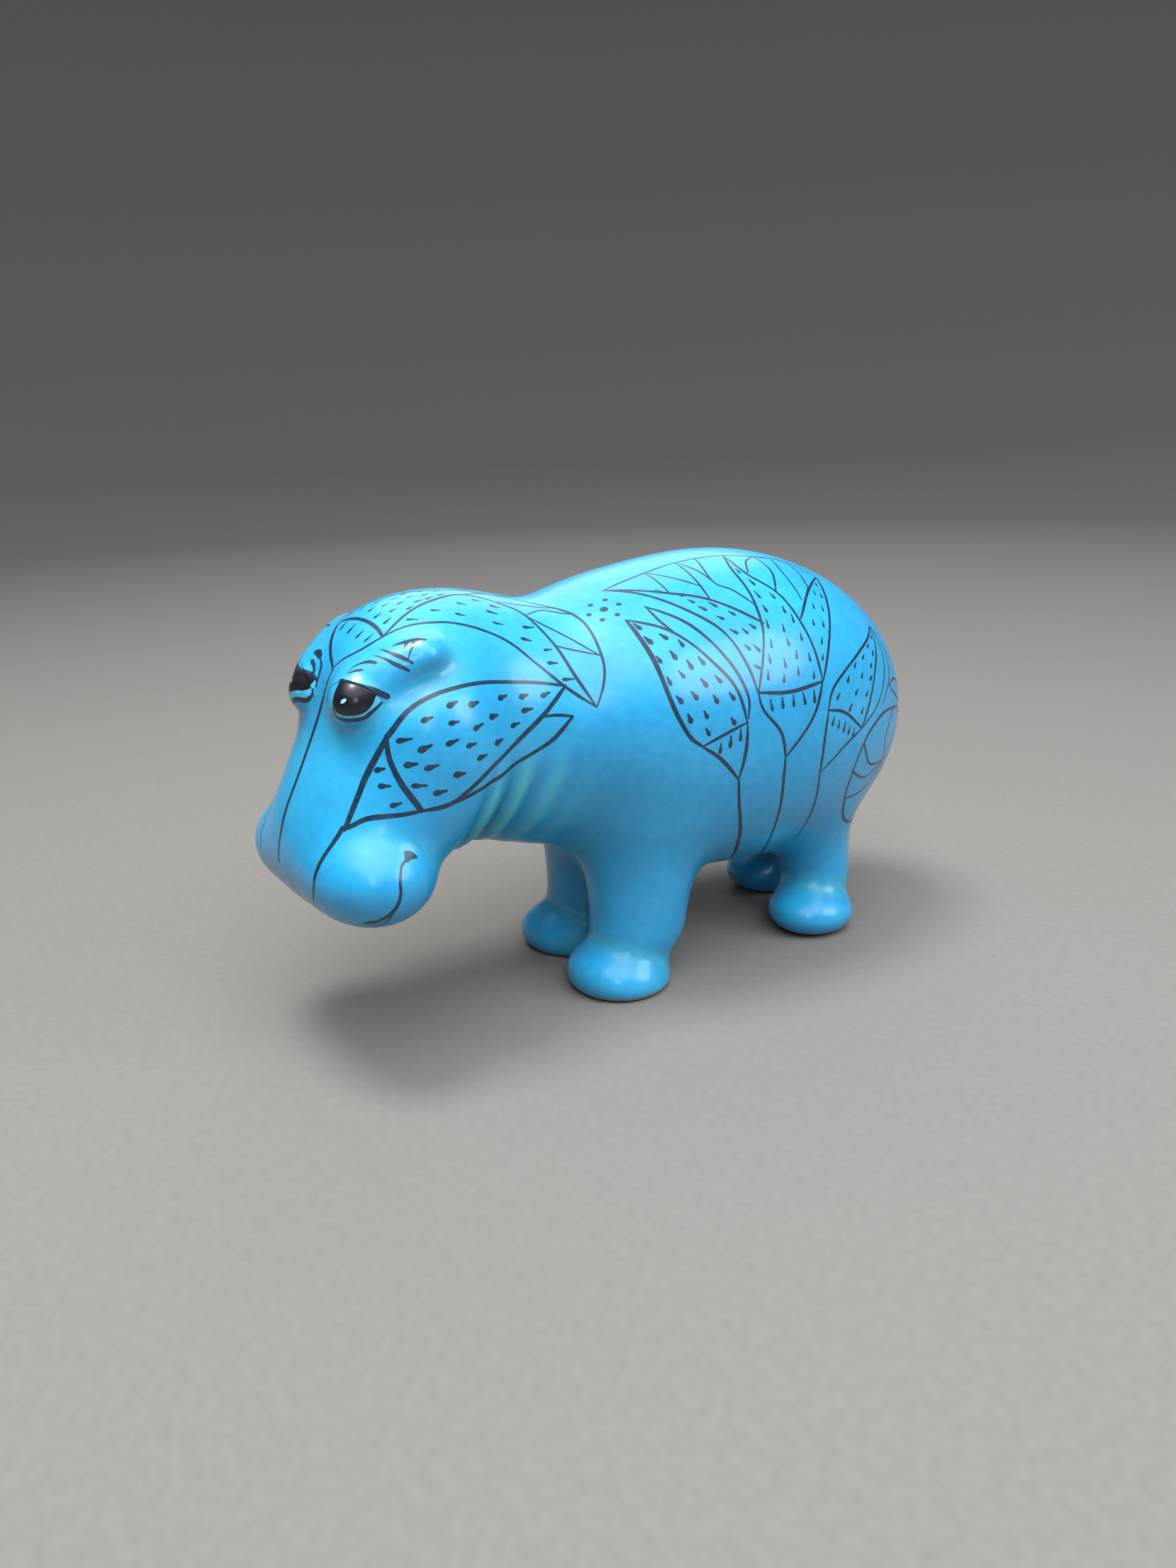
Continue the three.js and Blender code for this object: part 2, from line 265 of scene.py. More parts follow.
def slope(points):
    e = 0.02
    g = [(depth(points + e * axis) - depth(points - e * axis)) / (2 * e) for axis in np.eye(3)]
    return np.stack(g, 1)


def settle(points, passes=4):  # moves points onto the surface
    for _ in range(passes):
        g = slope(points)
        size = (g * g).sum(1) + 1e-9
        points = points - np.clip(depth(points) / size, -2, 2)[:, None] * g
    return points


# The skin: an even net over the form, finer round the eyes

skinSetup = {
    "cell": 1.5,  # mm
    "eyeReach": 11,  # mm round each eye's middle that gets smaller faces
    "eyePasses": 2,
    "eyeTaper": 0.15,  # how much of that reach each further pass gives up
    "offForm": 0.03,  # mm from the form at which a point counts as not there yet
}


def makeSkin(node, setup):
    mesh = node.data.copy()
    bm = bmesh.new()
    bm.from_mesh(mesh)
    bmesh.ops.remove_doubles(bm, verts=bm.verts, dist=1e-6)
    bm.to_mesh(mesh)
    bm.free()
    piece = bpy.data.objects.new("hippoGlazed", mesh)
    bpy.context.scene.collection.objects.link(piece)
    even = piece.modifiers.new("evenFaces", "REMESH")
    even.mode = "VOXEL"
    even.voxel_size = setup["cell"] / 1000
    bpy.context.view_layer.update()
    piece.data = bpy.data.meshes.new_from_object(piece.evaluated_get(bpy.context.evaluated_depsgraph_get()))
    piece.modifiers.clear()
    eyes = np.array([lid["at"] for lid in hippoForm["lids"]], float)
    eyes = [Vector(c) / 1000 for c in toFrame(outOfHead(eyes))]
    bm = bmesh.new()
    bm.from_mesh(piece.data)
    for k in range(setup["eyePasses"]):
        bmesh.ops.triangulate(bm, faces=bm.faces)
        reach = setup["eyeReach"] / 1000 * (1 - setup["eyeTaper"] * k)
        middles = [(e, (e.verts[0].co + e.verts[1].co) / 2) for e in bm.edges]
        close = [e for e, middle in middles if min((middle - c).length for c in eyes) < reach]
        bmesh.ops.subdivide_edges(bm, edges=close, cuts=1, use_grid_fill=True)
    bmesh.ops.triangulate(bm, faces=bm.faces)
    points = np.array([v.co for v in bm.verts]) * 1000
    faces = np.array([[v.index for v in f.verts] for f in bm.faces])
    bm.free()
    points = settle(points)
    for _ in range(2):  # a point that didn't reach the form starts again from its neighbours' middle
        total, count = np.zeros_like(points), np.zeros(len(points))
        for a, b in ((0, 1), (1, 2), (2, 0)):
            np.add.at(total, faces[:, a], points[faces[:, b]])
            np.add.at(count, faces[:, a], 1)
        off = np.abs(depth(points)) > setup["offForm"]
        points[off] = settle(total[off] / count[off, None])
    return piece, {"points": points, "faces": faces, "paint": np.zeros(len(faces), int)}


hippo, skin = makeSkin(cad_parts["hippo"], skinSetup)
print("skin", len(skin["points"]), "points", len(skin["faces"]), "faces")

# Charts: flat maps of the body, the head and the face, in mm, that the painting is laid out on
# A capsule chart reads along the axis and round it (left side positive); the face's reads down and across.

charts = {
    "body": {"from": (0, -2, 36.5), "to": (0, 27, 36.5), "radius": 22, "turned": False},
    "crown": {"from": (0, -14, 42), "to": (0, -40, 40), "radius": 13, "turned": True},
    "face": {"from": (0, -40, 45), "down": (0, -0.42, -0.907), "turned": True},
}


def capsuleAxes(chart):
    start = np.array(chart["from"], float)
    axis = np.array(chart["to"], float) - start
    reach = np.linalg.norm(axis)
    axis /= reach
    up = np.array((0, 0, 1.0)) - axis * axis[2]
    return start, axis, up / np.linalg.norm(up), reach


def toChart(points, chart):
    p = toShares(points)
    p = inHead(p) if chart["turned"] else p
    if "down" in chart:
        return np.stack([(p - np.array(chart["from"])) @ np.array(chart["down"]), p[:, 0]], 1) * share
    start, axis, up, reach = capsuleAxes(chart)
    rel = p - start
    s = np.clip(rel @ axis, 0, reach)
    off = rel - s[:, None] * axis
    side, high = off[:, 0], off @ up
    cap = np.arctan2(off @ axis, np.hypot(side, high))
    return np.stack([s + cap * chart["radius"], np.arctan2(side, high) * chart["radius"]], 1) * share


def fromChart(uv, chart):  # the place on the skin that a place on the chart stands for
    u, v = uv[:, 0] / share, uv[:, 1] / share
    if "down" in chart:
        down = np.array(chart["down"])
        away = np.array((0, down[2], -down[1]))
        start = np.array(chart["from"]) + u[:, None] * down + v[:, None] * (1, 0, 0) + 25 * away
        ray, inward = np.tile(-away, (len(u), 1)), 1
    else:
        first, axis, up, reach = capsuleAxes(chart)
        s = np.clip(u, 0, reach)
        cap, turn = (u - s) / chart["radius"], v / chart["radius"]
        start = first + s[:, None] * axis
        ray = np.sin(turn)[:, None] * (1, 0, 0) + np.cos(turn)[:, None] * up
        ray, inward = ray * np.cos(cap)[:, None] + np.sin(cap)[:, None] * axis, -1
    t = np.zeros(len(u))
    for _ in range(60):
        p = start + t[:, None] * ray
        p = outOfHead(p) if chart["turned"] else p
        t += inward * 0.8 * figure(p)
    return toFrame(p)


# The painting: strokes of a pointed brush, kept as small flat pieces on each chart

paints = {"glaze": 0, "line": 1, "eye": 2, "pale": 3, "glint": 4}
covers = (4, 1, 2, 3)  # which paint lies over which
strokes = {name: [] for name in charts}
taperRun = 4  # mm that a stroke takes to reach its full width


def curve(guide, step=1.1):  # a smooth line through the guide points, with its length so far
    g = np.array(guide, float)
    if len(g) == 2:
        n = max(2, int(np.linalg.norm(g[1] - g[0]) / step) + 1)
        return g[0] + np.linspace(0, 1, n)[:, None] * (g[1] - g[0])
    g = np.vstack([2 * g[0] - g[1], g, 2 * g[-1] - g[-2]])
    out = []
    for a, b, c, d in zip(g, g[1:], g[2:], g[3:]):
        n = int(np.linalg.norm(c - b) / step) + 1
        t = np.linspace(0, 1, n, endpoint=False)[:, None]
        bend = (2 * a - 5 * b + 4 * c - d) * t ** 2
        out.append(0.5 * (2 * b + (c - a) * t + bend + (3 * b - a - 3 * c + d) * t ** 3))
    return np.vstack(out + [g[-2:-1]])


def sway(count, size):  # slow unsteadiness along a stroke
    n = max(3, count // 5)
    knots = [hand.uniform(-size, size) for _ in range(n)]
    return np.interp(np.linspace(0, n - 1, count), range(n), knots)


def brush(chart, guide, width=0.75, ends=(0.6, 0.6), swell=None, paint="line", steady=0.1):
    line = curve(guide)
    run = np.concatenate([[0], np.cumsum(np.linalg.norm(np.diff(line, axis=0), axis=1))])
    if swell is None:
        first, last = ends
        start = np.minimum(1, first + (1 - first) * run / taperRun)
        end = np.minimum(1, last + (1 - last) * (run[-1] - run) / taperRun)
        half = width / 2 * (start * end) * (1 + sway(len(line), 0.18))
    else:
        half = width / 2 * np.interp(run / run[-1], np.linspace(0, 1, len(swell)), swell)
    across = np.gradient(line, axis=0)[:, ::-1] * (-1, 1)
    across /= np.linalg.norm(across, axis=1)[:, None] + 1e-9
    line = line + across * sway(len(line), steady)[:, None]
    strokes[chart].append({"line": line, "half": half, "paint": paint})


def mirrorGuide(guide, middle=0.0):
    return [(u, 2 * middle - v) for u, v in guide]


def both(chart, guide, middle=0.0, **look):  # the same stroke on both sides
    brush(chart, guide, **look)
    brush(chart, mirrorGuide(guide, middle), **look)


def patch(chart, outline, paint):
    strokes[chart].append({"outline": curve(list(outline) + [outline[0]], 0.6)[:-1], "paint": paint})


def along(guide, t):
    line = curve(guide, 0.5)
    run = np.concatenate([[0], np.cumsum(np.linalg.norm(np.diff(line, axis=0), axis=1))])
    at = t * run[-1]
    return np.array([np.interp(at, run, line[:, k]) for k in (0, 1)])


def dash(chart, at, way, length=3.0, width=0.95, middle=None):  # a teardrop that ends thick
    way = np.array(way, float) / np.linalg.norm(way)
    turn = hand.uniform(-0.16, 0.16)
    c, s = math.cos(turn), math.sin(turn)
    way = np.array((way[0] * c - way[1] * s, way[0] * s + way[1] * c))
    length *= hand.uniform(0.85, 1.15)
    width *= hand.uniform(0.85, 1.15)
    start, end = np.array(at) - way * length / 2, np.array(at) + way * length / 2
    swell = (0.45, 0.5, 0.55, 0.7, 0.95, 1.0, 0.9)
    guide = [tuple(start + (end - start) * t) for t in np.linspace(0, 1, 7)]
    for g in (guide,) if middle is None else (guide, mirrorGuide(guide, middle)):
        brush(chart, g, width=width, swell=swell, steady=0.0)


def dashRows(chart, left, right, counts, length=3.0, width=0.95, span=(0.1, 0.92), middle=0.0):
    for i, n in enumerate(counts):
        t = span[0] + (span[1] - span[0]) * i / max(1, len(counts) - 1)
        a, b = along(left, t), along(right, t)
        way = along(left, min(1, t + 0.05)) - along(left, t - 0.05)
        way = way + along(right, min(1, t + 0.05)) - along(right, t - 0.05)
        for k in range(n):
            f = (k + 0.5) / n + hand.uniform(-0.06, 0.06) / n
            lift = way / np.linalg.norm(way) * (hand.uniform(-0.5, 0.5) + (0.7 if k % 2 else -0.7))
            dash(chart, a + (b - a) * f + lift, way, length, width, middle)


def ticks(chart, first, last, count, way, length=3.0, width=0.7, middle=0.0):
    for k in range(count):
        t = k / max(1, count - 1)
        dash(chart, np.array(first) * (1 - t) + np.array(last) * t, way, length, width, middle)


# A lotus bud on the shoulder, its tip to the neck and its stem down to the belly
shoulderBud = {
    "left": [(-5, 28), (-3, 41), (-1, 54), (3, 63.5), (7, 67.5)],
    "right": [(-5, 28), (5, 35), (14, 46), (19, 54), (21, 63)],
    "base": [(7, 67.5), (14, 65), (21, 63)],
    "cupLeft": [(7, 67.5), (13, 72), (19, 79)],
    "cupRight": [(21, 63), (20.5, 71), (19, 79)],
    "sepal": [(2, 25), (11, 34), (19, 47), (22, 56), (21.5, 62)],
    "sepalTip": [(2, 25), (3.5, 31), (6, 36)],
    "stem": [(19, 79), (21, 88), (25, 99), (31, 116)],
    "rows": (1, 2, 3, 4, 4, 4, 2),
    "widths": {
        "left": 1.25, "right": 0.85, "base": 0.95, "cupLeft": 1.15, "cupRight": 1.0, "sepal": 0.9,
        "sepalTip": 0.75, "stem": 1.05,
    },
}


def paintShoulderBud(m):
    for name, width in m["widths"].items():
        both("body", m[name], width=width)
    dashRows("body", m["left"], m["right"], m["rows"], 2.1, 1.45)
    ticks("body", (12.5, 68.7), (18.7, 66), 3, (-0.1, 1), 2.6, 1.25)


# An open lotus over the back: three sepals, the petals between them under one rim, and a long stem
backFlower = {
    "rim": [(-4.4, 13.3), (10, 10.8), (21, 9.3), (36, 9.6), (46, 10.8), (57, 11), (66, 17.5)],
    "frontTop": [(-4.4, 13.3), (8, 20.8), (20, 26.9), (33, 37)],
    "frontLow": [(-4.4, 13.3), (3, 19.6), (12, 29), (20, 38), (23.7, 48), (25.3, 55.6)],
    "midLeft": [(36, 9.8), (33.6, 18), (33.4, 29), (31.2, 41), (25.3, 55.6)],
    "midRight": [(36, 9.8), (37, 20), (43, 29), (46.8, 43), (47.9, 55.6)],
    "backLeft": [(66, 17.5), (55, 26.8), (46.2, 36.8)],
    "backRight": [(66, 17.5), (62, 28.5), (57, 38.5), (52.3, 47.5), (48, 55.6)],
    "base": [(25.3, 55.6), (36, 56.8), (47.9, 55.6)],
    "neckLeft": [(25.3, 55.6), (26.5, 60.5), (31.8, 67.5), (33.6, 75)],
    "neckRight": [(47.9, 55.6), (43, 65), (33.6, 75)],
    "stem": [(33.6, 75), (34.4, 84), (38, 104), (44.5, 122)],
    "frontDashes": [
        (8.5, 20.6), (13.2, 23.6), (15, 26.6), (17, 29.6), (20.5, 29), (20.6, 33.4), (24.6, 32.6), (22.8, 38),
        (26.2, 38.4), (29, 37.4), (25.2, 43), (28, 43.6), (26.4, 48.6),
    ],
    "backDashes": [
        (62, 22.4), (57.6, 27), (60, 28), (53.6, 32.4), (57, 33), (50.4, 38), (54.2, 38.6), (51.2, 43.8),
        (49.8, 48.6),
    ],
    "petals": [
        [(10, 11), (10.8, 22)], [(10.6, 11.4), (15.6, 17), (20.6, 22.2)],
        [(20.6, 9.6), (20.6, 22.2), (20.6, 27)], [(21, 10), (23.6, 15.5), (25, 21)],
        [(27, 9.4), (25, 21), (29, 25.5), (33.4, 32)],
        [(45.8, 10.9), (41, 14), (37.8, 19.6)], [(46, 11), (46.4, 19), (42.4, 27.4)],
        [(52, 11.6), (50.5, 19), (50.2, 30.4)], [(57.4, 12.4), (57.5, 18), (56, 25.6)],
    ],
}


def paintBackFlower(m):
    both("body", m["rim"], width=0.7)
    for name in ("frontTop", "frontLow", "midLeft", "midRight", "backLeft", "backRight"):
        both("body", m[name], width=0.85)
    for name in ("base", "neckLeft", "neckRight", "stem"):
        both("body", m[name], width=0.95)
    for petal in m["petals"]:
        both("body", petal, width=0.7)
    for place in m["frontDashes"]:
        dash("body", place, (0.75, 0.75), 2.0, 1.05, 0)
    dashRows("body", m["midLeft"], m["midRight"], (1, 1, 2, 2, 3, 3, 4, 4), 2.3, 0.95, (0.2, 0.93))
    for place in m["backDashes"]:
        dash("body", place, (-0.3, 0.95), 2.0, 0.9, 0)
    ticks("body", (29, 59.4), (44, 59.2), 5, (0, 1), 3.1, 1.05)


# A second bud on the haunch
haunchBud = {
    "left": [(84, 36), (78, 42), (68, 48), (58, 53.5), (51.5, 58.5), (49, 64)],
    "right": [(84, 36), (82, 46), (76, 56), (70, 66), (65.3, 73)],
    "sepals": [[(84.5, 36), (87, 47), (83.5, 58), (76, 67), (65.8, 73)], [(85, 36), (91, 47), (89, 58), (80, 68)]],
    "base": [(49, 64), (56, 66), (65.3, 73)],
    "cupLeft": [(49, 64), (47.6, 73), (47.4, 83)],
    "cupRight": [(65.3, 73), (56, 77), (47.4, 83)],
    "stem": [(47.4, 83), (49.5, 96), (51, 112)],
    "rows": (1, 2, 2, 3, 3, 3),
}


def paintHaunchBud(m):
    for name in ("left", "right", "base", "cupLeft", "cupRight", "stem"):
        both("body", m[name], width=0.9)
    for sepal in m["sepals"]:
        both("body", sepal, width=0.65)
    dashRows("body", m["left"], m["right"], m["rows"], 2.1, 1.1, (0.16, 0.9))
    ticks("body", (51, 67.6), (60.6, 73.4), 5, (-0.3, 1), 2.6, 1.1)


# A round lotus leaf behind it, with veins that meet at its middle
haunchLeaf = {
    "middle": (84, 93),
    "rim": [
        (95, 74), (84, 71.5), (75.5, 73), (68, 78), (63.6, 87), (63.6, 98), (68, 108), (80, 113), (93, 108),
        (101, 96), (101, 84),
    ],
    "veins": [(67.5, 79), (63.6, 88), (64.2, 98), (69, 108.5), (83, 113), (97, 104), (101, 89), (90, 72)],
}


def paintHaunchLeaf(m):
    both("body", m["rim"] + [m["rim"][0]], width=1.0)
    cu, cv = m["middle"]
    for u, v in m["veins"]:
        bend = ((u + cu) / 2 + 0.16 * (v - cv), (v + cv) / 2 - 0.16 * (u - cu))
        both("body", [(u, v), bend, (cu, cv)], width=0.85, ends=(1, 0.7))


def paintRosette(u, v):  # one dot with six round it
    for k in range(7):
        turn = math.radians(60 * k)
        du, dv = (0, 0) if k == 0 else (math.cos(turn) * 4.6, math.sin(turn) * 4.2)
        r = 1.3 if k == 0 else 0.85
        turns = np.linspace(0, 2 * math.pi, 9)[:-1]
        ring = [(u + du + r * math.cos(a), v + dv + r * 0.85 * math.sin(a)) for a in turns]
        for g in (ring, mirrorGuide(ring)):
            patch("body", g, "line")


# A small bud over the rump, its tip forward
rumpBud = [
    [(87, 62), (95, 60), (104, 66)], [(87, 62), (94, 68), (103, 76)], [(104, 66), (105, 72), (103, 76)],
]


paintShoulderBud(shoulderBud)
paintBackFlower(backFlower)
paintHaunchBud(haunchBud)
paintHaunchLeaf(haunchLeaf)
paintRosette(-8.5, 21.5)
for guide in rumpBud:
    both("body", guide, width=0.85)

# The crown of the head is one lotus seen from above: a domed cup, three sepals and a fan of petals
crownFlower = {
    "lean": 1.5,  # mm to the left that the head's painting sits
    "dome": [(44.2, -7.2), (43, -1.3), (42.2, 3.9), (42.1, 7.4), (42.7, 10.4)],
    "cupLeft": [(53.5, 4.8), (48.2, 9.4), (42.7, 10.4)],
    "cupRight": [(53.5, 4.8), (50.2, -2.6), (46.4, -6.4), (44.2, -7.2)],
    "sepalLow": [
        (42.7, 10.4), (36.7, 10.5), (30.4, 11.2), (25.5, 11.9), (19, 14.3), (13.1, 18), (7.9, 24.6), (3, 32),
        (-2.2, 38.3),
    ],
    "sepalTop": [
        (42.7, 10.4), (34.4, 6.9), (26.2, 4.6), (16.1, 3), (7.5, 6.8), (3.3, 11), (0.7, 21.6), (-0.4, 30),
        (-2.2, 38.3),
    ],
    "sepalDashes": [
        (34, 9), (27, 7.8), (19, 6.7), (21.6, 10), (12.4, 9.9), (12.8, 13.2), (4.8, 15), (7.3, 18.4),
        (2.9, 22.3), (3.3, 26), (1.2, 31), (10.2, 7.8), (14, 5.6),
    ],
    "rim": [(16.1, 3), (8, 1.5), (0, 3.5), (-6.5, 10), (-8.6, 18.3), (-7, 28), (-5.4, 33), (-2.2, 38.3)],
    "petals": [
        [(3.3, 11), (-2.8, 19.5), (-6.9, 28)], [(0.7, 21.6), (-3.5, 25), (-6.9, 28)],
        [(9, 5.6), (1, 6.5), (-6, 9.4)], [(3.3, 11), (-3, 9.6), (-8.4, 14.5)],
    ],
    "domeDashes": [
        (39.3, (-4, -0.4, 3.2, 6.4)), (36, (-2.6, 0.8, 4)), (32.4, (-3.4, -0.4, 2.4, 5.2)),
        (28.8, (-1.6, 1, 3.6)), (25.2, (-1, 1.4, 3.2)), (21.5, (0.4, 2.4)),
    ],
}


def paintCrownFlower(m):
    brush("crown", m["dome"], width=1.05)
    brush("crown", m["cupLeft"], width=0.95)
    brush("crown", m["cupRight"], width=1.05)
    for name in ("sepalLow", "sepalTop"):
        both("crown", m[name], m["lean"], width=0.85)
    both("crown", m["rim"], m["lean"], width=0.75)
    for petal in m["petals"]:
        both("crown", petal, m["lean"], width=0.6)
    for place in m["sepalDashes"]:
        dash("crown", place, (0.95, -0.3), 2.3, 1.0, m["lean"])
    for u, row in m["domeDashes"]:
        for v in row:
            dash("crown", (u + hand.uniform(-0.5, 0.5), v), (1, 0.15), 2.0, 0.85)
    for v in (-3.6, 0.6, 4.6, 7.8):
        dash("crown", (45.4 if v < 6 else 44.8, v), (1, 0.1), 2.1, 0.85)


# A big bud on each cheek, its tip under the crown flower's and its stem down to the lips
cheekBud = {
    "top": [(2.5, 32.3), (10, 29.6), (19.6, 27.6), (28.2, 27), (39.3, 27.2), (45.6, 28.9), (50.5, 33)],
    "topCup": [(50.5, 33), (56.8, 41.8), (60.7, 48.8), (63.3, 54.3)],
    "low": [(2.5, 32.3), (10, 37.9), (18.5, 41.9), (28.1, 44.6), (35.1, 47.3), (40.4, 49.2), (47.6, 49.4)],
    "lowCup": [(47.6, 49.4), (57.4, 50.8), (63.3, 54.3)],
    "base": [(50.5, 33), (51.2, 38.5), (50.4, 44), (47.6, 49.4)],
    "sepal": [(10.2, 38.2), (6.6, 38.6), (3, 39.6)],
    "sepalLow": [(3, 39.6), (9, 44.3), (15.6, 46.6), (25.2, 47.7), (33, 48.2), (40.4, 49.3)],
    "dashes": [
        (35.5, 30), (30, 31), (20.5, 31), (14, 32), (8, 33), (42, 31.5), (36.5, 33.5), (30.5, 35.5), (25, 34.5),
        (14, 35.5), (18.5, 38), (47.5, 34.5), (44, 37), (38, 37), (33.5, 38.5), (25, 40), (31, 41.5), (47.5, 40),
        (43.5, 41), (37.5, 43.5), (46.8, 44.5), (42.5, 46.3),
    ],
    "cupDashes": [(53.6, 40.6), (53.6, 44.4), (52.3, 48)],
}


def paintCheekBud(m):
    both("crown", m["top"], width=1.3, swell=(0.55, 0.7, 0.75, 0.8, 0.9, 1, 1.15))
    both("crown", m["topCup"], width=1.5, swell=(0.95, 1.15, 1.0, 0.85))
    both("crown", m["low"], width=1.2)
    both("crown", m["lowCup"], width=1.1, ends=(1, 0.9))
    both("crown", m["base"], width=1.45, ends=(0.8, 0.9))
    both("crown", m["sepal"], width=0.95)
    both("crown", m["sepalLow"], width=1.05)
    for place in m["dashes"]:
        dash("crown", place, (0.99, 0.08), 2.5, 1.5, 0)
    for place in m["cupDashes"]:
        dash("crown", place, (0.97, 0.2), 1.9, 1.5, 0)


# The eyes: a black disc under a straight lid, a pale band and a dark line below it. The head leans a little,
# so the right eye is drawn further round than the left one, and the brow's marks are its own.
eyePaint = {
    "left": {
        "disc": [
            (55.7, 15), (57.8, 16.7), (59.7, 18.9), (60.2, 21.1), (59.1, 23.4), (56.7, 25), (53.9, 25.5),
            (51.7, 24.6), (50.5, 23.3), (49.8, 21.9), (52.7, 18.9),
        ],
        "band": [
            (56, 17), (59.8, 18.2), (60.6, 20.8), (60.3, 22.8), (58.9, 24.7), (56.8, 25.9), (54.3, 26.5),
            (51.6, 25.7), (49.4, 24.5), (51, 21.6),
        ],
        "lid": [(55.6, 15.1), (54.4, 17.5), (52.9, 19.2), (51.4, 20.8), (50, 22), (48.8, 23.1), (47.8, 24)],
        "ring": [
            (60.5, 19.9), (60.4, 22.6), (58.9, 24.7), (56.8, 25.9), (54.3, 26.5), (52.5, 26.1), (50.5, 25.3),
            (49.2, 24.6),
        ],
        "glint": (57.5, 21),
    },
    "right": {
        "disc": [
            (57.1, -3.3), (58.5, -3.9), (60.2, -5.1), (62.1, -7.4), (63.1, -10.2), (63.5, -13), (63.2, -16.3),
            (61.8, -19), (59.4, -20.8), (56, -21.4), (52.4, -20.4), (51.8, -18.8), (56.2, -13.5), (57.3, -8.7),
            (56.6, -5.2),
        ],
        "band": [
            (57.4, -2.8), (58.7, -2.8), (59.8, -3.5), (61.1, -4.5), (63, -6.9), (64.1, -9.8), (64.6, -13),
            (64.4, -16.5), (63, -19.8), (60, -21.9), (56, -22.6), (52, -21.4), (52.2, -19), (56.8, -13.5),
            (57.8, -8.5),
        ],
        "lid": [(57.1, -2.4), (56.8, -5.1), (57.5, -8.6), (56.6, -13.5), (52, -18.9), (50.2, -21)],
        "ring": [
            (51, -21.8), (56, -22.8), (60, -22.1), (63.2, -19.9), (64.7, -16.5), (64.8, -13), (64.3, -9.7),
            (63.1, -6.7), (61.2, -4.3), (59.5, -3.2),
        ],
        "glint": (60.6, -13.4),
    },
    "leftMarks": [
        ([(53.7, 14.3), (51.9, 13.8), (50.3, 14.2), (48.9, 15.2), (47.9, 16.6)], 1.1, (0.15, 0.3, 0.5, 0.9, 0.8)),
        ([(53.7, 14.7), (52.2, 15.1), (50.7, 16.2)], 0.9, (0.15, 0.7, 0.9, 0.6)),
        ([(47.3, 14.4), (46.1, 16.7), (44.6, 19.2), (42.3, 21.2)], 1.1, (0.15, 0.4, 0.8, 1, 0.6)),
        ([(45.4, 13.7), (44.3, 16.5), (42.9, 18.6), (41.2, 20.4)], 1.1, (0.15, 0.6, 1, 0.9, 0.6)),
        ([(43, 15), (40.8, 15.6), (38.7, 16.4), (36.6, 17.5)], 1.3, (0.2, 0.8, 1, 0.9, 0.5)),
        ([(40.4, 16.2), (41.2, 16.9), (41.9, 17.4)], 1.1, (1, 0.7, 0.2)),
        ([(39.2, 17.1), (40.7, 18.3), (41.8, 19.3)], 1.0, (1, 0.6, 0.2)),
    ],
    "rightMarks": [
        ([(52.4, -7.7), (52.3, -6.2), (52.8, -4.6)], 2.1, (0.7, 1, 0.7)),
        ([(53.1, -4.1), (53.9, -2.6), (55.5, -2.1), (57.2, -2.3), (58.5, -2.1)], 0.9, (0.5, 1, 0.8, 0.6)),
        ([(54.4, -7.3), (54.9, -5.9), (55.7, -4.9), (56.7, -4.8)], 1.2, (0.9, 1, 0.6, 0.9)),
        ([(42.8, -10.9), (40.2, -10.7), (37.6, -11.1), (34.6, -12.3)], 1.2, (0.2, 0.8, 1, 0.9, 0.5)),
        ([(44.9, -12), (44.1, -15), (42.8, -18.7)], 1.1, (0.15, 0.6, 1, 0.9, 0.6)),
    ],
}


def paintEye(m):
    cu, cv = m["glint"]
    patch("crown", m["band"], "pale")
    patch("crown", m["disc"], "eye")
    brush("crown", m["lid"], width=1.4, swell=(0.55, 0.5, 0.55, 0.7, 0.95, 1.05, 1.05), steady=0)
    brush("crown", m["ring"], width=1.15, ends=(0.35, 0.45), steady=0.04)
    turns = np.linspace(0, 2 * math.pi, 9)[:-1]
    # a pale dot on the black disc: a painted highlight
    patch("crown", [(cu + 0.75 * math.cos(a), cv + 0.5 * math.sin(a)) for a in turns], "glint")


def paintEyes(m):
    paintEye(m["left"])
    paintEye(m["right"])
    for guide, width, swell in m["leftMarks"] + m["rightMarks"]:
        brush("crown", guide, width=width, swell=swell, steady=0.04)


paintCrownFlower(crownFlower)
paintCheekBud(cheekBud)
paintEyes(eyePaint)

# The mouth at each side, and on the face the middle line, the buds' stems and the nostrils
muzzlePaint = {
    "mouth": [(53.2, 55.2), (54.5, 55.4), (55.2, 56.4), (55.3, 57.4), (56, 59.1), (57.2, 60.7), (58.6, 62.3)],
    "mouthEnd": [(57.7, 61.5), (58.5, 62.2), (59.2, 62.8)],
    "mouthFlag": [(53.1, 54.7), (52, 54.9), (50.7, 55.9), (52.3, 55.5), (53.4, 55.4)],
    "mouthLow": [(56.1, 59.3), (56.3, 60.4), (56.8, 62.3), (57.9, 63.7)],
    "middle": [
        (-7.8, 4.4), (-2.9, 3.6), (4.9, 1.4), (12.1, 0.4), (20.5, 0.7), (27.7, 0.5), (34, 0.4), (40.4, -0.6),
    ],
    "stem": [(25.7, 20), (30, 19.8), (34.2, 19.4), (38.3, 19), (42.2, 18.4), (46.6, 15)],
    "farStem": [(27, -16.8), (31.5, -15.8), (34.3, -15), (37, -15.2), (40.6, -14)],
    "nostrils": [[(41.9, 3.8), (43.6, 4.2), (44.9, 5.2), (46, 7)], [(41.8, -4.2), (43.3, -4.8), (44.8, -6)]],
}


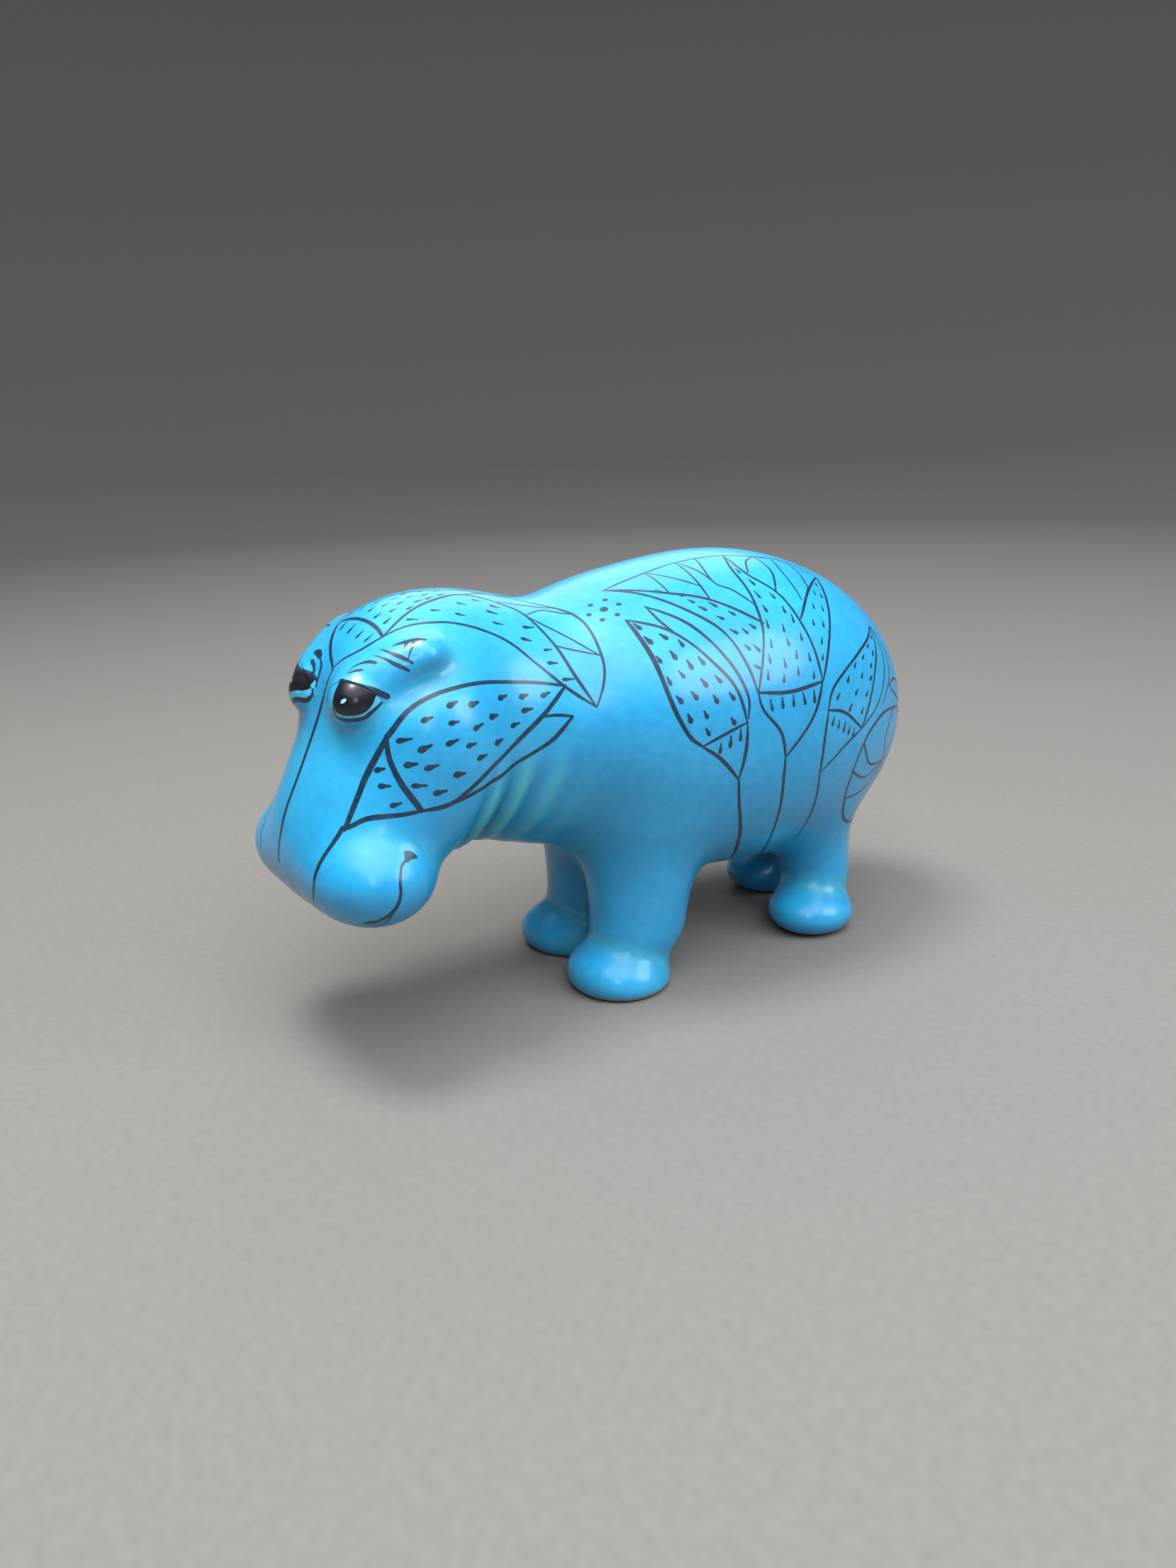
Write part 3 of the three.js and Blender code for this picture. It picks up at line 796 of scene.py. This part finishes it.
def paintMuzzle(m):
    both("crown", m["mouth"], width=0.95, swell=(0.7, 0.7, 0.8, 1, 1.3, 1.1, 1.3))
    both("crown", m["mouthEnd"], width=2.2, swell=(0.4, 1, 0.9, 0.6))
    both("crown", m["mouthLow"], width=0.8, ends=(0.5, 0.3))
    for g in (m["mouthFlag"], mirrorGuide(m["mouthFlag"])):
        patch("crown", g, "line")
    brush("face", m["middle"], width=1.25, swell=(0.9, 1, 1.05, 1, 1, 1, 1, 0.8))
    brush("face", m["stem"], width=1.25, swell=(1.05, 0.95, 1, 0.85, 0.7, 0.45))
    brush("face", m["farStem"], width=1.3, swell=(1.2, 0.7, 0.5, 0.5, 0.4))
    for nostril in m["nostrils"]:
        brush("face", nostril, width=0.95, ends=(0.3, 0.4))


paintMuzzle(muzzlePaint)
print("strokes", {name: len(found) for name, found in strokes.items()})


def roundUp(corners):  # the convex ring round a few points
    return np.array([corners[k] for k in convex_hull_2d([Vector(c) for c in corners])])


def flatPieces(chart, found):
    # A stroke's sides are stepped off on the skin itself, so its width is true where the chart stretches
    lines = [s for s in found if "line" in s]
    every = fromChart(np.vstack([s["line"] for s in lines]), chart)
    normals = slope(every)
    normals /= np.linalg.norm(normals, axis=1)[:, None] + 1e-9
    pieces, first = [], 0
    for s in lines:
        n = len(s["line"])
        at, normal = every[first:first + n], normals[first:first + n]
        first += n
        side = np.cross(normal, np.gradient(at, axis=0))
        side *= (s["half"] / (np.linalg.norm(side, axis=1) + 1e-9))[:, None]
        one, other = toChart(at + side, chart), toChart(at - side, chart)
        for k in range(n - 1):
            pieces.append((roundUp([one[k], other[k], other[k + 1], one[k + 1]]), s["paint"]))
        for k, out in ((0, -1), (n - 1, 1)):  # a round end, as the brush leaves it
            ahead = s["line"][k] - s["line"][k - out]
            ahead *= s["half"][k] / (np.linalg.norm(at[k] - at[k - out]) + 1e-9)
            a, b = (one[k], other[k]) if out > 0 else (other[k], one[k])
            tip = [b * (1 - f) + a * f + ahead * math.sin(math.pi * f) * 0.9 for f in (0.25, 0.5, 0.75)]
            pieces.append((roundUp([b, *tip, a]), s["paint"]))
    for s in found:
        if "outline" in s:
            pieces.append((s["outline"], s["paint"]))
    return pieces


def signedArea(ring):
    x, y = ring[:, 0], ring[:, 1]
    return 0.5 * (x @ np.roll(y, -1) - y @ np.roll(x, -1))


cutSetup = {
    "margin": 4,  # mm round the marks
    "near": 3.0,  # mm from a mark, where faces are cut
    "trueTo": 0.6,  # mm a point may lie from its place on the chart
    "leastArea": 1e-4,  # mm2 on the chart, so that no face seen edge-on is cut
    "leastRing": 1e-3,  # mm2, the least piece of a stroke
    "snap": 1e-5,
}


def imprint(skin, chart, pieces):
    # Cuts the strokes' outlines into the faces of the skin, and marks the faces inside them with their paint
    points, faces = skin["points"], skin["faces"]
    uv = toChart(points, chart)
    marks = np.vstack([ring for ring, _ in pieces] + [ring.mean(0)[None] for ring, _ in pieces])
    tree = KDTree(len(marks))
    for k, (x, y) in enumerate(marks):
        tree.insert((x, y, 0), k)
    tree.balance()
    low, high = marks.min(0) - cutSetup["margin"], marks.max(0) + cutSetup["margin"]
    inside = np.flatnonzero(((uv > low) & (uv < high)).all(1))
    miss = np.linalg.norm(fromChart(uv[inside], chart) - points[inside], axis=1)
    inside = inside[miss < cutSetup["trueTo"]]
    reached = np.zeros(len(points), bool)
    for k in inside:
        reached[k] = tree.find((uv[k, 0], uv[k, 1], 0))[2] < cutSetup["near"]
    sound = np.zeros(len(points), bool)
    sound[inside] = True
    corners = uv[faces]
    area = 0.5 * np.cross(corners[:, 1] - corners[:, 0], corners[:, 2] - corners[:, 0])
    turned = np.sign(np.median(area[reached[faces].all(1)]))
    chosen = reached[faces].any(1) & sound[faces].all(1) & (area * turned > cutSetup["leastArea"])
    base = np.flatnonzero(chosen)
    used, where = np.unique(faces[base], return_inverse=True)
    rings = where.reshape(-1, 3)
    if turned < 0:
        rings = rings[:, ::-1]
    flat = [Vector(p) for p in uv[used]]
    loops = [list(map(int, r)) for r in rings]
    kinds = []
    for ring, paint in pieces:
        if abs(signedArea(ring)) < cutSetup["leastRing"]:
            continue
        ring = ring if signedArea(ring) > 0 else ring[::-1]
        first = len(flat)
        flat += [Vector(p) for p in ring]
        loops.append(list(range(first, len(flat))))
        kinds.append(paints[paint])
    out = delaunay_2d_cdt(flat, [], loops, 1, cutSetup["snap"], True)
    outPoints, outFaces, origPoints, origFaces = out[0], out[2], out[3], out[5]
    index = np.full(len(outPoints), -1)
    for k, orig in enumerate(origPoints):
        known = [i for i in orig if i < len(used)]
        if known:
            index[k] = used[min(known)]
    fresh = {}
    newFaces, newPaint = [], []
    for ring, orig in zip(outFaces, origFaces):
        under = [i for i in orig if i < len(base)]
        if not under or len(ring) != 3:
            continue
        over = [kinds[i - len(base)] for i in orig if i >= len(base)]
        old = base[under[0]]
        best = skin["paint"][old]
        if over:
            best = min(over, key=covers.index)
        for k in ring:
            if index[k] < 0 and k not in fresh:
                fresh[k] = old
        newFaces.append(ring if turned > 0 else ring[::-1])
        newPaint.append(best)
    added = sorted(fresh)
    if added:
        a, b, c = (uv[faces[[fresh[k] for k in added]][:, j]] for j in range(3))
        p = np.array([outPoints[k] for k in added])
        whole = np.cross(b - a, c - a)
        wb = np.clip(np.cross(p - a, c - a) / whole, 0, 1)
        wc = np.clip(np.cross(b - a, p - a) / whole, 0, 1 - wb)
        A, B, C = (points[faces[[fresh[k] for k in added]][:, j]] for j in range(3))
        lifted = settle(A + wb[:, None] * (B - A) + wc[:, None] * (C - A), 2)
        index[added] = len(points) + np.arange(len(added))
        points = np.vstack([points, lifted])
    keep = ~chosen
    faces = np.vstack([faces[keep], index[np.array([list(r) for r in newFaces])]])
    paint = np.concatenate([skin["paint"][keep], newPaint])
    return {"points": points, "faces": faces, "paint": paint}


for name, chart in charts.items():
    skin = imprint(skin, chart, flatPieces(chart, strokes[name]))
    print("painted", name, len(skin["faces"]), "faces")

# Materials


def linear(hexColour):
    rgb = [int(hexColour[i:i + 2], 16) / 255 for i in (1, 3, 5)]
    return [c / 12.92 if c <= 0.04045 else ((c + 0.055) / 1.055) ** 2.4 for c in rgb] + [1]


def addNode(tree, kind, inputs=None, **settings):
    node = tree.nodes.new(kind)
    for name, value in settings.items():
        setattr(node, name, value)
    for name, value in (inputs or {}).items():
        if isinstance(value, bpy.types.NodeSocket):
            tree.links.new(value, node.inputs[name])
        else:
            node.inputs[name].default_value = value
    return node


def perMetre(size):  # a pattern's scale, from the size of its grain in mm
    return 1000 / size


def ramped(tree, value, start, end, low, high):  # value from start to end becomes low to high
    limits = {"From Min": start, "From Max": end, "To Min": low, "To Max": high}
    return addNode(tree, "ShaderNodeMapRange", {"Value": value, **limits}).outputs["Result"]


def newMaterial(name):
    material = bpy.data.materials.new(name)
    material.use_nodes = True
    material.node_tree.nodes.clear()
    return material, material.node_tree


glazeShine = {"IOR": 1.5, "Coat Weight": 0.3, "Coat Roughness": 0.13}
glazeLook = {
    "body": "#2394c8",  # the turquoise as it lies on flat parts
    "thin": "#3fb6e6",  # where it runs thin, on what stands out
    "deep": "#0b6488",  # where it pools in recesses, and painted shade in creases and between parts
    "greenAndSheen": "#5fc6b4",  # the greenish tinge where it runs thin over the folds' crests and edges, with a painted highlight there
    "clay": "#a3958a",
    "clayDark": "#8a7a6e",
    "cloud": 26.3,  # mm, the size of the slow changes in depth
    "grain": 2.38,  # mm, the fine mottle of the glaze, coarser than the real one so that it shows
    "ripple": 4.545,  # mm, the unevenness of the gloss
    "rag": 3.333,  # mm, the steps along the glaze's lower edge
    "ragDepth": 0.9,  # mm
    "clayHeight": 1.5,  # mm, how far the foot is bare
    "gloss": 0.33,
}


def colourMix(tree, factor, a, b):
    node = tree.nodes.new("ShaderNodeMix")
    node.data_type = "RGBA"
    for slot, value in ((0, factor), (6, a), (7, b)):
        if isinstance(value, bpy.types.NodeSocket):
            tree.links.new(value, node.inputs[slot])
        else:
            node.inputs[slot].default_value = value
    return node.outputs[2]


def noise(tree, place, size, detail):
    inputs = {"Vector": place, "Scale": perMetre(size), "Detail": detail}
    return addNode(tree, "ShaderNodeTexNoise", inputs).outputs["Fac"]


def makeGlaze(look):
    # Turquoise glaze over stoneware, poured and fired: glossy, and a little uneven in depth. Recesses are darker,
    # as pooled glaze and painted shade; crests are lighter and greener, as thin glaze and a painted highlight
    material, tree = newMaterial("turquoiseGlaze")
    place = addNode(tree, "ShaderNodeTexCoord").outputs["Object"]
    clouds = noise(tree, place, look["cloud"], 3)
    grain = noise(tree, place, look["grain"], 4)
    poolingAndShadeFac = addNode(tree, "ShaderNodeAttribute", attribute_name="poolingAndShade").outputs["Fac"]
    thinningAndSheenFac = addNode(tree, "ShaderNodeAttribute", attribute_name="thinningAndSheen").outputs["Fac"]
    cloudMask = ramped(tree, clouds, 0.35, 0.7, 0.0, 0.35)
    colour = colourMix(tree, cloudMask, linear(look["body"]), linear(look["thin"]))
    # lighter and greener on crests and edges: thin glaze, and a painted highlight
    thinningAndSheenMask = ramped(tree, thinningAndSheenFac, 0.1, 0.9, 0.0, 0.6)
    colour = colourMix(tree, thinningAndSheenMask, colour, linear(look["greenAndSheen"]))
    # darker in recesses, fold valleys and between parts: pooled glaze, and painted shade
    poolingAndShadeMask = ramped(tree, poolingAndShadeFac, 0.1, 0.8, 0.0, 0.8)
    colour = colourMix(tree, poolingAndShadeMask, colour, linear(look["deep"]))
    grainMask = ramped(tree, grain, 0.3, 0.7, 0.92, 1.07)
    colour = addNode(tree, "ShaderNodeVectorMath", {0: colour}, operation="SCALE")
    tree.links.new(grainMask, colour.inputs["Scale"])
    ripple = noise(tree, place, look["ripple"], 1)
    bump = addNode(tree, "ShaderNodeBump", {"Height": ripple, "Strength": 0.05, "Distance": 0.0004})
    glaze = addNode(tree, "ShaderNodeBsdfPrincipled", {
        "Base Color": colour.outputs["Vector"], "Roughness": look["gloss"], "Normal": bump.outputs["Normal"],
        **glazeShine,
    })
    height = addNode(tree, "ShaderNodeSeparateXYZ", {"Vector": place}).outputs["Z"]
    ragged = noise(tree, place, look["rag"], 2)
    deep = look["ragDepth"] / 1000
    levels = {0: ragged, 1: deep, 2: look["clayHeight"] / 1000 - deep / 2}
    edge = addNode(tree, "ShaderNodeMath", levels, operation="MULTIPLY_ADD").outputs["Value"]
    bare = addNode(tree, "ShaderNodeMath", {0: height, 1: edge}, operation="LESS_THAN").outputs["Value"]
    clayTone = colourMix(tree, grain, linear(look["clay"]), linear(look["clayDark"]))
    clay = addNode(tree, "ShaderNodeBsdfPrincipled", {"Base Color": clayTone, "Roughness": 0.9, "IOR": 1.5})
    surfaces = {"Fac": bare, 1: glaze.outputs["BSDF"], 2: clay.outputs["BSDF"]}
    mixed = addNode(tree, "ShaderNodeMixShader", surfaces)
    addNode(tree, "ShaderNodeOutputMaterial", {"Surface": mixed.outputs["Shader"]})
    return material


paintGrain = 1.43  # mm, where the brush left more or less of the colour


def makePaint(name, dark, light, rough):
    # Metal-oxide colour under the same clear glaze, so it is as glossy as the ground
    material, tree = newMaterial(name)
    place = addNode(tree, "ShaderNodeTexCoord").outputs["Object"]
    load = noise(tree, place, paintGrain, 2)
    mask = ramped(tree, load, 0.4, 0.75, 0.0, 1.0)
    tone = colourMix(tree, mask, linear(dark), linear(light))
    paint = addNode(tree, "ShaderNodeBsdfPrincipled", {"Base Color": tone, "Roughness": rough, **glazeShine})
    addNode(tree, "ShaderNodeOutputMaterial", {"Surface": paint.outputs["BSDF"]})
    return material


materials = [
    makeGlaze(glazeLook),
    makePaint("manganeseLine", "#0f2c44", "#263c4b", 0.33),
    makePaint("manganeseEye", "#10151f", "#1c1b20", 0.3),
    makePaint("paleTurquoise", "#3fa3c8", "#58b4d4", 0.33),
    # the pale dot in each eye is a painted highlight
    makePaint("eyeGlint", "#7fd4ee", "#93def2", 0.3),
]

# The painted skin becomes the piece


def finishPiece(piece, skin, materials, box):
    mesh = bpy.data.meshes.new("hippoGlazed")
    low, high = (np.array(c) for c in box)
    own = skin["points"].max(0) - skin["points"].min(0)
    fitted = (skin["points"] - skin["points"].min(0)) / own * (high - low) + low  # to the solid's own box
    mesh.from_pydata(fitted.tolist(), [], skin["faces"].tolist())
    mesh.polygons.foreach_set("material_index", skin["paint"].astype(np.int32))
    bm = bmesh.new()
    bm.from_mesh(mesh)
    bmesh.ops.holes_fill(bm, edges=[e for e in bm.edges if e.is_boundary], sides=4)
    bmesh.ops.triangulate(bm, faces=[f for f in bm.faces if len(f.verts) > 3])
    bm.to_mesh(mesh)
    bm.free()
    for material in materials:
        mesh.materials.append(material)
    mesh.polygons.foreach_set("use_smooth", np.ones(len(mesh.polygons), bool))
    points = skin["points"]
    normals = slope(points)
    normals /= np.linalg.norm(normals, axis=1)[:, None] + 1e-9
    reach = 3.0  # mm, the size of recess in which glaze gathers and painted shade is laid
    wave = foldHeight(toShares(points)) / hippoForm["folds"]["depth"]
    # darker where the skin curves in and in the fold valleys: pooled glaze, and painted shade
    poolingAndShade = np.clip(1 - depth(points + normals * reach) / reach + 0.4 * np.clip(-wave, 0, 1), 0, 1)
    # lighter on what stands out and on the folds' crests: thin glaze, and a painted highlight
    thinningAndSheen = np.clip(1 + depth(points - normals * reach) / reach + 0.9 * np.clip(wave, 0, 1), 0, 1)
    for name, values in (("poolingAndShade", poolingAndShade), ("thinningAndSheen", thinningAndSheen)):
        layer = mesh.attributes.new(name, "FLOAT", "POINT")
        layer.data.foreach_set("value", values.astype(np.float32))
    mesh.update()
    mesh.normals_split_custom_set_from_vertices(normals.tolist())
    old = piece.data
    piece.data = mesh
    bpy.data.meshes.remove(old)


finishPiece(hippo, skin, materials, cadBox)
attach(hippo, "root")
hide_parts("hippo")
print("piece", len(hippo.data.polygons), "faces")

# Floor and light

studio = {
    "sweepTone": "#716f6c",
    "sweepFleck": "#7b7976",
    "fleck": 2.5,  # mm
    # metres, out and up
    "sweep": [(0, 0), (1.5, 0), (1.88, 0.08), (2.21, 0.29), (2.42, 0.62), (2.5, 1), (2.5, 2.6)],
    "worldTone": "#e6ebf2",
    "worldStrength": 0.44,
    "lamps": [
        {"name": "keyLight", "at": (-0.05, -0.2, 0.88), "size": (0.3, 0.3), "power": 7.2, "tone": "#fffaf2"},
        {"name": "ceilingLight", "at": (0.3, -0.2, 1.4), "size": (2, 2), "power": 9, "tone": "#fbfcff"},
        {
            "name": "fillLight", "at": (0.73, -0.19, 1.41), "size": (1.6, 1.6), "power": 30, "tone": "#fbfcff",
            "mirrored": False,
        },
        {"name": "windowLight", "at": (1.02, -0.54, 0.66), "size": (0.2, 0.5), "power": 1.5, "tone": "#f6f8ff"},
        {"name": "backLight", "at": (-0.95, 0.55, 1), "size": (1.2, 1.2), "power": 4.6, "tone": "#fbfcff"},
        {"name": "wallLight", "at": (0.95, 0.75, 0.75), "size": (0.8, 0.8), "power": 8, "tone": "#f6f8ff"},
    ],
}


def makeSweep(setup):  # a pale floor that curves up into a round backdrop
    bm = bmesh.new()
    profile = [bm.verts.new((out, 0, up)) for out, up in setup["sweep"]]
    edges = [bm.edges.new(pair) for pair in zip(profile, profile[1:])]
    turn = {"cent": (0, 0, 0), "axis": (0, 0, 1), "angle": 2 * math.pi, "steps": 72}
    bmesh.ops.spin(bm, geom=profile + edges, use_merge=True, **turn)
    bmesh.ops.remove_doubles(bm, verts=bm.verts, dist=1e-5)
    bmesh.ops.recalc_face_normals(bm, faces=bm.faces)
    bmesh.ops.reverse_faces(bm, faces=bm.faces)
    for face in bm.faces:
        face.smooth = True
    mesh = bpy.data.meshes.new("sweep")
    bm.to_mesh(mesh)
    bm.free()
    sweep = bpy.data.objects.new("sweep", mesh)
    bpy.context.scene.collection.objects.link(sweep)
    # Pale felted cloth: quite matt, so it takes soft shadows and mirrors nothing
    material, tree = newMaterial("paleCloth")
    place = addNode(tree, "ShaderNodeTexCoord").outputs["Object"]
    fleck = noise(tree, place, setup["fleck"], 2)
    tone = colourMix(tree, fleck, linear(setup["sweepTone"]), linear(setup["sweepFleck"]))
    cloth = {"Base Color": tone, "Roughness": 0.9, "IOR": 1.45, "Specular IOR Level": 0.2}
    matt = addNode(tree, "ShaderNodeBsdfPrincipled", cloth)
    addNode(tree, "ShaderNodeOutputMaterial", {"Surface": matt.outputs["BSDF"]})
    mesh.materials.append(material)


def makeLamp(setup):
    data = bpy.data.lights.new(setup["name"], "AREA")
    data.shape = "ELLIPSE"
    data.size, data.size_y = setup["size"]
    data.energy = setup["power"]
    data.color = linear(setup["tone"])[:3]
    lamp = bpy.data.objects.new(setup["name"], data)
    bpy.context.scene.collection.objects.link(lamp)
    lamp.location = setup["at"]
    lamp.visible_glossy = setup.get("mirrored", True)  # a very wide light would mirror as one flat patch
    lamp.rotation_euler = (Vector((0, 0, 0.06)) - Vector(setup["at"])).to_track_quat("-Z", "Y").to_euler()


def makeWorld(setup):
    world = bpy.data.worlds.new("studioWorld")
    world.use_nodes = True
    tree = world.node_tree
    tree.nodes.clear()
    sky = {"Color": linear(setup["worldTone"]), "Strength": setup["worldStrength"]}
    glow = addNode(tree, "ShaderNodeBackground", sky)
    addNode(tree, "ShaderNodeOutputWorld", {"Surface": glow.outputs["Background"]})
    bpy.context.scene.world = world


makeSweep(studio)
for lamp in studio["lamps"]:
    makeLamp(lamp)
makeWorld(studio)
bpy.context.scene.view_settings.view_transform = "Standard"
print("stage set")
